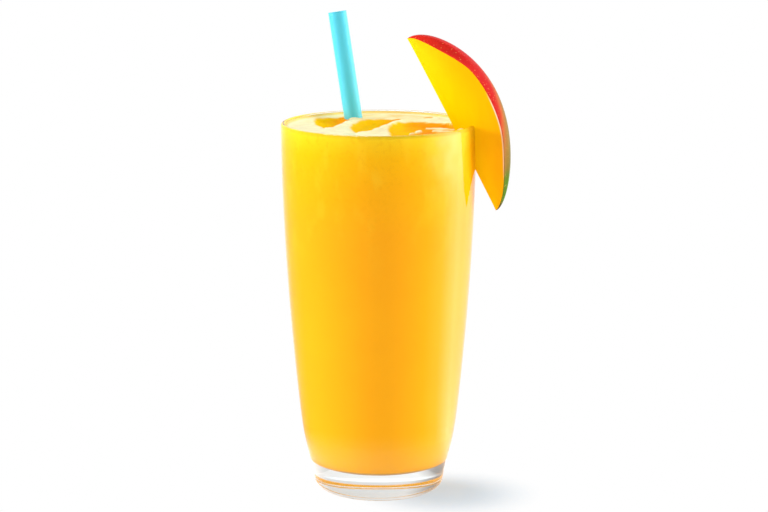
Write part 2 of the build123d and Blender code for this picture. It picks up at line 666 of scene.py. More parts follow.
@dataclass
class Tumbler:
    """The tall tumbler: flared side, half-round rim, heavy base with a hollow under it."""

    height: float = 160.0 * MM
    rim_radius: float = 41.6 * MM
    wall: float = 2.0 * MM
    side_flare: float = 11.6 * MM
    flare_power: float = 1.85
    foot_tuck: float = 2.4 * MM
    tuck_height: float = 18.0 * MM
    tuck_power: float = 2.5
    base_thickness: float = 11.6 * MM
    floor_corner: float = 13.0 * MM
    heel_radius: float = 3.8 * MM
    ring_width: float = 3.2 * MM
    recess_depth: float = 1.2 * MM
    finish: ClearGlass = field(default_factory=ClearGlass)

    def outer_radius(self, height: Array) -> Array:
        """Radius of the outside at a height.

        rim - flare (1 - height/top)^power - tuck exp(-(height/tuck height)^power).

        Args:
            height: Heights above the table.

        Returns:
            Radii, the same shape.
        """
        below_rim = np.clip(1.0 - height / self.height, 0.0, 1.0)
        sweep = self.rim_radius - self.side_flare * below_rim**self.flare_power
        return sweep - self.foot_tuck * np.exp(-((height / self.tuck_height) ** self.tuck_power))

    def flat_radius(self) -> float:
        """Radius of the flat part of the floor inside."""
        return float(self.outer_radius(np.array(self.base_thickness))) - self.wall - self.floor_corner

    def floor_height(self, radius: float) -> float:
        """Height of the floor inside, with its rounded corner, at a distance from the middle."""
        run = min(max(radius - self.flat_radius(), 0.0), self.floor_corner)
        return self.base_thickness + self.floor_corner - math.sqrt(self.floor_corner**2 - run**2)

    def inside_profile(self, top: float, swell: float = 0.0, steps: int = 90) -> Array:
        """The inside from the middle of the floor, round its corner and up the wall.

        Args:
            top: Where it stops.
            swell: How far it is moved out into the glass.
            steps: Points up the wall.

        Returns:
            Rows of distance from the axis and height; the first distance is 0.
        """
        flat_radius = self.flat_radius()
        middle = (flat_radius, self.base_thickness + self.floor_corner)
        corner = arc(middle, self.floor_corner + swell, -90.0, 0.0, 24)
        height = np.linspace(self.base_thickness, top, 400)
        wall = np.stack((self.outer_radius(height) - self.wall + swell, height), axis=-1)
        blend_top = self.base_thickness + self.floor_corner
        shift = float(self.outer_radius(np.array(blend_top))) - self.wall
        shift -= flat_radius + self.floor_corner
        lift = (corner[:, 1] - corner[0, 1]) / (corner[-1, 1] - corner[0, 1])
        corner[:, 0] += shift * lift * lift
        above = np.linspace(blend_top, top, steps)[1:]
        side = np.stack((np.interp(above, wall[:, 1], wall[:, 0]), above), axis=-1)
        start = np.array([[0.0, corner[0, 1]]])
        inner = np.stack((np.linspace(0.0, flat_radius, 12)[1:-1], np.full(10, corner[0, 1])), axis=-1)
        return np.vstack((start, inner, corner, side))

    def profile(self) -> Array:
        """The whole outline: hollow, foot ring, heel, side, rim, inside wall, floor.

        Returns:
            Rows of distance from the axis and height, from the axis back to the axis.
        """
        heel_out = float(self.outer_radius(np.array(self.heel_radius)))
        ring_out = heel_out - self.heel_radius
        ring_in = ring_out - self.ring_width
        across = np.linspace(0.0, ring_in, 16)
        hollow = np.stack((across, self.recess_depth * (1.0 - (across / ring_in) ** 2)), axis=-1)
        heel = arc((ring_out, self.heel_radius), self.heel_radius, -90.0, 0.0, 12)
        lip = self.wall / 2.0
        height = np.linspace(self.heel_radius, self.height - lip, 120)[1:]
        side = np.stack((self.outer_radius(height), height), axis=-1)
        rim = arc((side[-1, 0] - lip, self.height - lip), lip, 0.0, 180.0, 17)[1:]
        inside = self.inside_profile(self.height - lip)[::-1][1:]
        return np.vstack((hollow, heel, side, rim, inside))

    def build(self) -> bpy.types.Object:
        """Builds and dresses the tumbler."""
        outline = self.profile()
        piece = turned("tumbler", outline[:, 0], outline[:, 1], 320)
        piece.data.materials.append(self.finish.material())
        return placed(piece, "glass")


@dataclass
class Straw:
    """The leaning tube: a wall with square ends, its foot on the floor of the tumbler."""

    radius: float = 4.0 * MM
    wall: float = 0.4 * MM
    length: float = 191.7 * MM
    side_lean: float = 8.6
    back_lean: float = 5.0
    foot: tuple[float, float] = (10.4 * MM, 15.74 * MM)
    gap: float = 0.2 * MM
    edge: float = 0.12 * MM
    foot_height: float = 0.0
    finish: StrawPlastic = field(default_factory=StrawPlastic)

    def direction(self) -> Array:
        """Unit vector up the straw."""
        along = np.array(
            [-math.tan(math.radians(self.side_lean)), math.tan(math.radians(self.back_lean)), 1.0]
        )
        return along / np.linalg.norm(along)

    def stand_in(self, tumbler: "Tumbler") -> None:
        """Sets the foot's height, so that its tilted end just clears the tumbler's floor."""
        drop = self.radius * math.sqrt(1.0 - self.direction()[2] ** 2)
        floor = tumbler.floor_height(math.hypot(*self.foot) + self.radius)
        self.foot_height = floor + drop + self.gap

    def middle_at(self, height: float) -> Array:
        """The straw's middle at a height, as x and y."""
        along = self.direction()
        climb = (height - self.foot_height) / along[2]
        return np.array(self.foot) + along[:2] * climb

    def build(self) -> bpy.types.Object:
        """Builds the tube as one closed surface and dresses it.

        A closed outline of the wall (outside up, over the rounded end, inside down) is
        carried round the straw's own axis: point = foot + along s + radius (u cos + v sin).
        """
        along = self.direction()
        side = np.cross(along, [0.0, 1.0, 0.0])
        side /= np.linalg.norm(side)
        other = np.cross(along, side)
        soft = self.edge
        inner = self.radius - self.wall
        reach = np.linspace(soft, self.length - soft, 60)
        outline = np.vstack(
            (
                np.stack((np.full(60, self.radius), reach), axis=-1),
                arc((self.radius - soft, self.length - soft), soft, 0.0, 90.0, 5)[1:],
                arc((inner + soft, self.length - soft), soft, 90.0, 180.0, 5),
                np.stack((np.full(60, inner), reach[::-1]), axis=-1)[1:],
                arc((inner + soft, soft), soft, 180.0, 270.0, 5)[1:],
                arc((self.radius - soft, soft), soft, 270.0, 360.0, 5)[:-1],
            )
        )
        segments = 64
        turn = np.linspace(0.0, math.tau, segments, endpoint=False)
        round_axis = np.cos(turn)[:, None] * side + np.sin(turn)[:, None] * other
        foot = np.array([*self.foot, self.foot_height])
        points = (
            foot
            + outline[:, 1][:, None, None] * along
            + outline[:, 0][:, None, None] * round_axis[None, :, :]
        )
        closed = np.concatenate((points, points[:1]), axis=0)
        faces = grid_faces(len(closed), segments, True)
        faces %= len(outline) * segments
        piece = make_object("drinking_straw", points, (faces,))
        outward(piece)
        piece.data.materials.append(self.finish.material())
        return placed(piece, "straw")


@dataclass
class MangoWedge:
    """The wedge: a sector of a body of revolution about its straight inner edge."""

    length: float = 82.4 * MM
    radius: float = 23.2 * MM
    fullness: float = 0.65
    balance: float = 0.86
    tilt: float = 27.4
    front_turn: float = 32.0
    back_turn: float = 17.0
    top_tip: tuple[float, float, float] = (11.9 * MM, -6.0 * MM, 196.2 * MM)
    slit_bite: float = 0.2 * MM
    slit_low: float = 110.0 * MM
    tip_bulge: float = 1.2 * MM
    tip_slope: float = 0.29
    tail_slope: float = 0.075
    tail_bulge: float = 0.6 * MM
    bulge_reach: float = 0.12
    cut_border: float = 14.0
    skin_depth: float = 0.5 * MM
    finish: MangoFruit = field(default_factory=MangoFruit)

    def axes(self) -> tuple[Array, Array, Array]:
        """Down the inner edge, straight outwards, and towards the front."""
        tilt = math.radians(self.tilt)
        down = np.array([math.sin(tilt), 0.0, -math.cos(tilt)])
        out = np.array([math.cos(tilt), 0.0, math.sin(tilt)])
        return down, out, np.array([0.0, -1.0, 0.0])

    def skin_distance(self, share: Array) -> Array:
        """Distance from the inner edge to the skin.

        radius sin(pi share^balance)^fullness.

        Args:
            share: How far down the wedge, 0 to 1.

        Returns:
            Distances, the same shape.
        """
        wave = np.sin(math.pi * np.clip(share, 0.0, 1.0) ** self.balance)
        return self.radius * np.clip(wave, 0.0, 1.0) ** self.fullness

    def bulge(self, share: Array, turn: Array, reach: Array) -> Array:
        """How much further out the skin stands near both ends, behind the front cut.

        tip bulge exp(-share/reach) + tail bulge exp(-(1 - share)/reach), times a smooth rise
        over the border's degrees behind the front cut. On the front cut itself the skin is
        nearer over the top 0.3 of the wedge, by up to the tip slope's share of its distance,
        and below 0.85 by the tail slope's share.

        Args:
            share: How far down the wedge, 0 to 1.
            turn: Degrees round from straight outwards.
            reach: Share of the way out to the skin.

        Returns:
            Extra distances.
        """
        tip = self.tip_bulge * np.exp(-share / self.bulge_reach)
        tail = self.tail_bulge * np.exp((share - 1.0) / self.bulge_reach)
        behind = smooth_step(0.0, self.cut_border, self.front_turn - turn)
        slope = self.tip_slope * (1.0 - smooth_step(0.0, 0.3, share))
        slope = slope + self.tail_slope * smooth_step(0.6, 0.85, share)
        drawn_in = slope * self.skin_distance(share)
        return ((tip + tail) * behind - drawn_in * (1.0 - behind)) * smooth_step(0.6, 1.0, reach)

    def section(self, steps: int) -> Array:
        """A slice across the wedge, of unit radius, as outwards and front coordinates.

        It runs from the inner edge out along the front face, round the skin and back along
        the back face, and a short moving mean rounds its corners.

        Args:
            steps: Points along each of the three stretches.

        Returns:
            Rows of two coordinates.
        """
        front, back = math.radians(self.front_turn), -math.radians(self.back_turn)
        near = np.linspace(1.0, 0.0, steps, endpoint=False)[:, None]
        out = 1.0 - near**2
        turn = np.linspace(front, back, steps, endpoint=False)
        front_end = np.array([math.cos(front), math.sin(front)])
        back_end = np.array([math.cos(back), math.sin(back)])
        outline = np.vstack(
            (
                out * front_end,
                np.stack((np.cos(turn), np.sin(turn)), axis=-1),
                (1.0 - (1.0 - near) ** 2) * back_end,
            )
        )
        return 0.5 * outline + 0.25 * (np.roll(outline, 1, axis=0) + np.roll(outline, -1, axis=0))

    def build(self, cutter: bpy.types.Object) -> bpy.types.Object:
        """Builds the wedge, cuts the rim's slit, stores what the finish reads, dresses it.

        point = top tip + down (share length) + skin distance (out p + front q), for a slice
        point (p, q).

        Args:
            cutter: The wall and rim, a little thinner, so that the wedge grips them.

        Returns:
            The wedge.
        """
        down, out, front = self.axes()
        rows = 220
        share = (1.0 - np.cos(np.linspace(0.0, math.pi, rows))) / 2.0
        share = share[1:-1]
        section = self.section(64)
        reach = np.hypot(section[:, 0], section[:, 1])
        turn = np.degrees(np.arctan2(section[:, 1], section[:, 0]))
        spread = section[:, 0:1] * out + section[:, 1:2] * front
        distance = self.skin_distance(share)[:, None] + self.bulge(share[:, None], turn, reach)
        tip = np.array(self.top_tip)
        points = tip + (share * self.length)[:, None, None] * down + distance[:, :, None] * spread
        around = len(section)
        count = points.shape[0] * around
        ends = np.array([tip, tip + self.length * down])
        ring = np.arange(around)
        faces = (
            grid_faces(points.shape[0], around, True),
            fan_faces(ring, count, False),
            fan_faces(count - around + ring, count + 1, True),
        )
        piece = make_object("mango_wedge_fruit", np.vstack((points.reshape(-1, 3), ends)), faces)
        outward(piece)
        cut(piece, cutter)
        self.mark(piece)
        piece.data.materials.append(self.finish.material())
        return placed(piece, "mango_wedge")

    def mark(self, piece: bpy.types.Object) -> None:
        """Stores, at each point, how far along, across and deep it is, how much is skin, and
        how much painted highlight lies in the flesh just inside the skin.

        Args:
            piece: The wedge, already cut.
        """
        down, out, front = self.axes()
        points = vertices(piece) - np.array(self.top_tip)
        along = points @ down / self.length
        first, second = points @ out, points @ front
        distance = np.hypot(first, second)
        turn = np.degrees(np.arctan2(second, first))
        skin_at = self.skin_distance(along) + self.bulge(along, turn, np.ones(along.shape))
        depth = skin_at - distance
        across = (self.front_turn - turn) / (self.front_turn + self.back_turn)
        store(piece, "along", along)
        store(piece, "across", np.clip(across, 0.0, 1.0))
        store(piece, "depth", np.clip(depth / np.maximum(skin_at, 1e-6), 0.0, 1.0))
        store(piece, "skin", 1.0 - smooth_step(0.4 * self.skin_depth, self.skin_depth, depth))
        # lip: a painted highlight in the flesh just inside the skin, over the middle of the wedge's
        # length
        rim = smooth_step(0.4, 0.5, along) * (1.0 - smooth_step(0.78, 0.88, along))
        highlight_band = 1.0 - smooth_step(self.skin_depth, 2.2 * self.skin_depth, depth)
        store(piece, "lip", rim * highlight_band)


@dataclass(frozen=True)
class Furrow:
    """A furrow the pour left in the top, with a closed outline of x and y in millimetres.

    The side of it that looks right and forward is a crisp edge under a rolled lip, and the
    other side slopes up softly. Between the two x in warm it turns from yellow to orange.
    """

    outline: tuple[tuple[float, float], ...]
    warm: tuple[float, float] = (-20.0, 20.0)
    depth: float = 1.9 * MM
    roll: float = 0.9 * MM
    crisp_heading: tuple[float, float] = (0.9, -0.44)

    def border(self, steps: int = 150) -> Array:
        """The outline as evenly spaced points, its corners rounded by a moving mean."""
        given = np.array(self.outline) * MM
        closed = np.vstack((given, given[:1]))
        span = np.concatenate(([0.0], np.cumsum(np.hypot(*np.diff(closed, axis=0).T))))
        place = np.linspace(0.0, span[-1], steps, endpoint=False)
        line = np.stack([np.interp(place, span, column) for column in closed.T], axis=-1)
        for _ in range(6):
            line = 0.5 * line + 0.25 * (np.roll(line, 1, axis=0) + np.roll(line, -1, axis=0))
        return line

    def measure(self, x: Array, y: Array) -> tuple[Array, Array]:
        """Distance in from the border, and how crisp the nearest border is.

        Whether a point is inside is told by how many sides of the outline a line to its
        right crosses.

        Args:
            x: Points' x.
            y: Points' y.

        Returns:
            Distances, negative outside, and crispness from 0 to 1.
        """
        line = self.border()
        after = np.roll(line, -1, axis=0)
        heading = after - np.roll(line, 1, axis=0)
        winding = np.sign(np.sum(line[:, 0] * after[:, 1] - after[:, 0] * line[:, 1]))
        normal = np.stack((heading[:, 1], -heading[:, 0]), axis=-1) * winding
        facing = normal @ np.array(self.crisp_heading) / np.hypot(*normal.T)
        best, crisp = np.full(x.shape, np.inf), np.zeros(x.shape)
        inside = np.zeros(x.shape, dtype=bool)
        for (px, py), (qx, qy), side in zip(line, after, facing):
            distance = np.hypot(x - px, y - py)
            crisp = np.where(distance < best, side, crisp)
            best = np.minimum(best, distance)
            slope = (qx - px) / (qy - py) if qy != py else 0.0
            inside ^= ((py > y) != (qy > y)) & (x < px + (y - py) * slope)
        return np.where(inside, best, -best), smooth_step(-0.3, 0.6, crisp)


@dataclass(frozen=True)
class Fleck:
    """A streak of cream afloat in a furrow, froth and a painted reflection: two ends and a half width,
    in millimetres.
    """

    start: tuple[float, float]
    end: tuple[float, float]
    half_width: float

    def measure(self, x: Array, y: Array) -> Array:
        """Distance from the streak's middle line as a share of its half width.

        Args:
            x: Points' x.
            y: Points' y.

        Returns:
            Shares, 1 at its edge; the streak is pointed towards both ends.
        """
        start, end = np.array(self.start) * MM, np.array(self.end) * MM
        run = end - start
        along = ((x - start[0]) * run[0] + (y - start[1]) * run[1]) / (run @ run)
        near = np.clip(along, 0.0, 1.0)
        away = np.hypot(x - start[0] - near * run[0], y - start[1] - near * run[1])
        taper = 0.35 + 2.6 * near * (1.0 - near)
        return away / (self.half_width * MM * taper)


@dataclass
class Smoothie:
    """The drink: it fills the tumbler up to a folded surface, creamy with froth and a painted
    reflection.
    """

    headspace: float = 2.5 * MM
    cling_height: float = 2.0 * MM
    cling_reach: float = 1.3 * MM
    collar_height: float = 0.9 * MM
    collar_reach: float = 1.4 * MM
    margin: float = 3.0 * MM
    swell: float = 0.3 * MM
    # where the painted highlight lies: its heading from the front and width in degrees, and the
    # heights it rises over
    highlight_heading: float = 46.0
    highlight_width: float = 12.0
    highlight_rise: tuple[float, float] = (128.0 * MM, 156.0 * MM)
    # where the painted shade on the drink's bottom fades out: across x, and upwards from the bottom
    shade_width: tuple[float, float] = (11.0 * MM, 21.0 * MM)
    shade_height: tuple[float, float] = (0.2 * MM, 1.5 * MM)
    furrows: tuple[Furrow, ...] = (
        Furrow(
            (
                (-28.9, 20.3),
                (-28.4, 26.1),
                (-26.1, 29.4),
                (-21.5, 31.1),
                (-17.0, 32.4),
                (-13.4, 32.0),
                (-12.4, 26.1),
                (-15.0, 16.2),
                (-17.8, 6.5),
                (-19.6, -0.6),
                (-21.8, -2.2),
                (-24.1, 1.7),
                (-26.8, 8.9),
            ),
            warm=(-24.0, -14.0),
        ),
        Furrow(
            (
                (-12.9, 0.0),
                (-12.2, 10.1),
                (-10.3, 18.6),
                (-6.8, 26.2),
                (0.3, 29.4),
                (6.0, 28.6),
                (11.8, 27.6),
                (24.0, 26.6),
                (24.0, 24.6),
                (12.2, 23.6),
                (7.6, 20.6),
                (3.2, 9.3),
                (0.8, 1.7),
                (-2.0, -6.6),
                (-4.4, -12.5),
                (-7.8, -16.0),
                (-11.4, -10.4),
            ),
            warm=(-4.0, 8.0),
        ),
        Furrow(
            (
                (3.4, -3.8),
                (4.6, 7.3),
                (8.0, 15.4),
                (13.4, 20.7),
                (17.4, 20.0),
                (23.0, 17.4),
                (29.5, 14.2),
                (34.0, 6.0),
                (33.0, -10.7),
                (27.0, -22.0),
                (20.0, -29.0),
                (13.0, -31.0),
                (7.0, -28.5),
                (4.2, -20.0),
            ),
            warm=(9.0, 21.0),
            depth=2.0 * MM,
        ),
        Furrow(
            ((19.0, 31.9), (23.0, 31.4), (28.5, 29.9), (28.3, 28.1), (23.0, 29.6), (19.2, 30.3)),
            warm=(-60.0, -50.0),
            depth=0.8 * MM,
            roll=0.2 * MM,
        ),
    )
    flecks: tuple[Fleck, ...] = (
        Fleck((20.5, 9.6), (32.0, 6.6), 1.6),
        Fleck((23.0, 1.6), (31.5, -0.6), 1.2),
        Fleck((16.2, -3.4), (17.6, 1.6), 1.7),
        Fleck((13.4, -7.6), (14.6, -5.6), 1.3),
    )
    finish: MangoPuree = field(default_factory=MangoPuree)

    def folds(self, x: Array, y: Array) -> tuple[Array, Array, Array]:
        """Relief, cream share and warmth of the furrows.

        In each furrow the depth grows inwards from its border, over 1.6 mm at its crisp side
        and 6 mm at its soft side. The roll is a hump exp(-((distance out - 1.7)/1.7)^2) along
        the crisp side. Flecks of cream stand 0.8 mm over the furrow they float in, and the
        cream turns to peach towards the back. The cream stands for froth and for a painted
        reflection of the bright backdrop.

        Args:
            x: Points' x.
            y: Points' y.

        Returns:
            Heights over the flat surface, the cream share (froth and painted reflection) from 0 in
            a furrow to 1 outside, and how orange each point is.
        """
        relief, foam_and_reflection, warm = np.zeros(x.shape), np.ones(x.shape), np.zeros(x.shape)
        ragged = 0.25 * MM * ripple(x, y, 7.0 * MM, 11) + 0.12 * MM * ripple(x, y, 2.6 * MM, 12)
        drift = 0.16 * ripple(x, y, 16.0 * MM, 13)
        for furrow in self.furrows:
            inwards, crisp = furrow.measure(x, y)
            depth = smooth_step(0.0, 1.0, (inwards + 0.4 * MM) / ((6.0 - 4.4 * crisp) * MM))
            hump = np.exp(-(((-inwards - 1.7 * MM) / (1.7 * MM)) ** 2)) * crisp
            relief = relief - furrow.depth * depth + furrow.roll * hump
            clear = smooth_step(0.0, 1.0, (inwards + ragged + 0.3 * MM) / ((1.7 - 1.1 * crisp) * MM))
            foam_and_reflection = foam_and_reflection * (1.0 - clear)
            low, high = furrow.warm
            warmth = smooth_step(0.0, 1.0, (x / MM - low) / (high - low) + drift)
            warm = np.maximum(warm, clear * warmth)
        for fleck in self.flecks:
            drawn = 1.0 - smooth_step(0.6, 1.1, fleck.measure(x, y))
            foam_and_reflection = np.maximum(foam_and_reflection, drawn)
            relief = relief + 0.8 * MM * drawn
            warm = warm * (1.0 - drawn)
        behind = smooth_step(14.0 * MM, 34.0 * MM, y) * (0.75 + 0.4 * ripple(x, y, 14.0 * MM, 17))
        return relief, foam_and_reflection, np.maximum(warm, np.clip(behind, 0.0, 1.0) * foam_and_reflection)

    def surface(
        self, x: Array, y: Array, wall: float, straw: Straw, level: float
    ) -> tuple[Array, Array, Array]:
        """Height, cream share and warmth of the top surface.

        The folds fade at the wall; fine ripples are added, and the surface clings to the wall
        and the straw in collars that die away as exp(-distance/reach).

        Args:
            x: Points' x.
            y: Points' y.
            wall: Radius of the tumbler's inside there.
            straw: The straw that stands in it.
            level: The flat surface's height.

        Returns:
            Heights, how creamy (froth and painted reflection) and how orange each point is.
        """
        radius = np.hypot(x, y)
        fade = smooth_step(0.0, self.margin, wall - radius)
        relief, foam_and_reflection, warm = self.folds(x, y)
        fine = 0.14 * MM * ripple(x, y, 8.0 * MM, 3) + 0.05 * MM * ripple(x, y, 2.8 * MM, 5)
        cling = self.cling_height * np.exp(-(wall - radius) / self.cling_reach)
        middle = straw.middle_at(level)
        from_straw = np.abs(np.hypot(x - middle[0], y - middle[1]) - straw.radius)
        collar = self.collar_height * np.exp(-from_straw / self.collar_reach)
        hush = smooth_step(0.0, 4.0 * MM, from_straw)
        height = level + relief * fade * (0.35 + 0.65 * hush) + fine * fade + cling + collar
        at_wall = 0.35 + 0.65 * smooth_step(0.3 * MM, 1.4 * MM, wall - radius)
        return height, np.clip(foam_and_reflection + 0.4 * (1.0 - fade), 0.0, 1.0) * at_wall, warm * (at_wall > 0.99)

    def painted_highlight(self, turn: Array, height: Array) -> Array:
        """How much painted highlight lies on the drink's side, high up on the right of the front.

        A bump exp(-((turn - heading)/width)^2) in degrees from the front, times a smooth
        rise over the top, broken up by a ripple.

        Args:
            turn: Angles round the axis, from +X towards +Y.
            height: Heights.

        Returns:
            Shares, the same shape.
        """
        from_front = (np.degrees(turn) + 90.0 + 180.0) % 360.0 - 180.0
        bump = np.exp(-(((from_front - self.highlight_heading) / self.highlight_width) ** 2))
        broken = 0.75 + 0.25 * ripple(turn * 40.0 * MM, height, 9.0 * MM, 21)
        return np.clip(bump * smooth_step(*self.highlight_rise, height) * broken, 0.0, 1.0)

    def under(self, points: Array, low: float) -> Array:
        """How much painted shade each point gets, on the flat middle of the drink's bottom.

        Args:
            points: Rows of x, y, z.
            low: The height of the drink's bottom.

        Returns:
            1 on the flat middle, falling to 0 upwards and to the left and right.
        """
        beside = smooth_step(*self.shade_width, np.abs(points[:, 0]))
        above = smooth_step(*self.shade_height, points[:, 2] - low)
        return (1.0 - beside) * (1.0 - above)

    def build(self, tumbler: Tumbler, straw: Straw) -> bpy.types.Object:
        """Builds the drink as one closed form and dresses it.

        Args:
            tumbler: What it fills.
            straw: What stands in it.

        Returns:
            The drink.
        """
        level = tumbler.height - self.headspace
        brim = level + self.cling_height
        outline = tumbler.inside_profile(brim, self.swell)
        segments = 384
        turn = np.linspace(0.0, math.tau, segments, endpoint=False)
        wall = outline[-1, 0]
        inward = np.linspace(0.0, 1.0, 110)[1:-1]
        rings = wall * (1.0 - inward**1.25)
        radius = np.concatenate((outline[1:, 0], rings))
        x = radius[:, None] * np.cos(turn)
        y = radius[:, None] * np.sin(turn)
        height = np.concatenate((outline[1:, 1], np.zeros(len(rings))))
        z = np.broadcast_to(height[:, None], x.shape).copy()
        foam_and_reflection, top, warm = np.zeros(x.shape), np.zeros(x.shape), np.zeros(x.shape)
        first = len(outline) - 1
        made = self.surface(x[first:], y[first:], wall, straw, level)
        z[first:], foam_and_reflection[first:], warm[first:] = made
        top[first:] = 1.0
        middle = self.surface(np.zeros(1), np.zeros(1), wall, straw, level)[0]
        points = np.stack((x, y, z), axis=-1).reshape(-1, 3)
        poles = np.array([[0.0, 0.0, outline[0, 1]], [0.0, 0.0, float(middle[0])]])
        rows = len(radius)
        around = np.arange(segments)
        faces = (
            grid_faces(rows, segments, True)[:, ::-1],
            fan_faces(around, rows * segments, True),
            fan_faces((rows - 1) * segments + around, rows * segments + 1, False),
        )
        piece = make_object("mango_drink", np.vstack((points, poles)), faces)
        outward(piece)
        low = tumbler.base_thickness
        rise = (vertices(piece)[:, 2] - low) / (brim - low)
        store(piece, "height", np.clip(rise, 0.0, 1.0))
        store(piece, "foam_and_reflection", np.concatenate((foam_and_reflection.reshape(-1), [0.0, foam_and_reflection[-1, 0]])))
        store(piece, "warm", np.concatenate((warm.reshape(-1), [0.0, warm[-1, 0]])))
        store(piece, "top", np.concatenate((top.reshape(-1), [0.0, 1.0])))
        store(piece, "under", self.under(vertices(piece), low))
        across, back, up = vertices(piece).T
        store(piece, "painted_highlight", self.painted_highlight(np.arctan2(back, across), up))
        piece.data.materials.append(self.finish.material())
        return placed(piece, "smoothie")


# ---------------------------------------------------------------------------
# Piece helpers
# ---------------------------------------------------------------------------


def vertices(piece: bpy.types.Object) -> Array:
    """The piece's points as rows of x, y, z."""
    flat = np.empty(len(piece.data.vertices) * 3)
    piece.data.vertices.foreach_get("co", flat)
    return flat.reshape(-1, 3)


def store(piece: bpy.types.Object, name: str, values: Array) -> None:
    """Keeps one number at each point, for the finish to read."""
    attribute = piece.data.attributes.new(name, "FLOAT", "POINT")
    attribute.data.foreach_set("value", values.astype(np.float32))


def outward(piece: bpy.types.Object) -> None:
    """Turns every face of a closed piece outwards."""
    shape = bmesh.new()
    shape.from_mesh(piece.data)
    bmesh.ops.recalc_face_normals(shape, faces=shape.faces)
    shape.to_mesh(piece.data)
    shape.free()


def cut(piece: bpy.types.Object, cutter: bpy.types.Object) -> None:
    """Takes the cutter's form out of the piece for good, and throws the cutter away."""
    modifier = piece.modifiers.new("slit", "BOOLEAN")
    modifier.operation = "DIFFERENCE"
    modifier.solver = "EXACT"
    modifier.object = cutter
    graph = bpy.context.evaluated_depsgraph_get()
    mesh = bpy.data.meshes.new_from_object(piece.evaluated_get(graph))
    piece.modifiers.clear()
    old, piece.data = piece.data, mesh
    bpy.data.meshes.remove(old)
    bpy.data.objects.remove(cutter)
    piece.data.polygons.foreach_set("use_smooth", [True] * len(piece.data.polygons))
    piece.data.update()


def placed(piece: bpy.types.Object, node: str) -> bpy.types.Object:
    """Rides a piece on the body and the CAD node it stands for.

    Args:
        piece: The piece.
        node: The CAD node it replaces.

    Returns:
        The piece.
    """
    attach(piece, BODY)
    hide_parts(node)
    log.info("%s: %d points, %d faces", piece.name, len(piece.data.vertices), len(piece.data.polygons))
    return piece


def rim_cutter(tumbler: Tumbler, gap: float, low: float) -> bpy.types.Object:
    """The tumbler's upper wall and rim, a gap thicker: a ring with a half-round top.

    Args:
        tumbler: Whose wall it is.
        gap: How much thicker each side is; below zero it is thinner.
        low: Its lowest height.

    Returns:
        The ring.
    """
    lip = tumbler.wall / 2.0
    height = np.linspace(low, tumbler.height - lip, 40)
    outside = tumbler.outer_radius(height)
    outer = np.stack((outside + gap, height), axis=-1)
    inner = np.stack((outside - tumbler.wall - gap, height), axis=-1)[::-1]
    top = arc((outside[-1] - lip, tumbler.height - lip), lip + gap, 0.0, 180.0, 17)[1:-1]
    outline = np.vstack((outer, top, inner))
    segments = 256
    points = spun(outline[:, 0], outline[:, 1], segments)
    faces = grid_faces(len(outline) + 1, segments, True) % (len(outline) * segments)
    ring = make_object("rim_cutter", points, (faces,))
    outward(ring)
    return ring


# ---------------------------------------------------------------------------
# Studio
# ---------------------------------------------------------------------------


@dataclass(frozen=True)
class SoftLamp:
    """A rectangular lamp; mirrored says whether gloss shows it."""

    name: str
    place: tuple[float, float, float]
    target: tuple[float, float, float]
    size: tuple[float, float]
    power: float
    mirrored: bool = False

    def hang(self) -> bpy.types.Object:
        """Adds the lamp to the scene, turned to its target."""
        data = bpy.data.lights.new(self.name, "AREA")
        data.shape = "RECTANGLE"
        data.size, data.size_y = self.size
        data.energy = self.power
        lamp = bpy.data.objects.new(self.name, data)
        lamp.location = self.place
        heading = np.array(self.target) - np.array(self.place)
        lamp.rotation_euler = Vector(heading.tolist()).to_track_quat("-Z", "Y").to_euler()
        lamp.visible_glossy = self.mirrored
        bpy.context.scene.collection.objects.link(lamp)
        return lamp


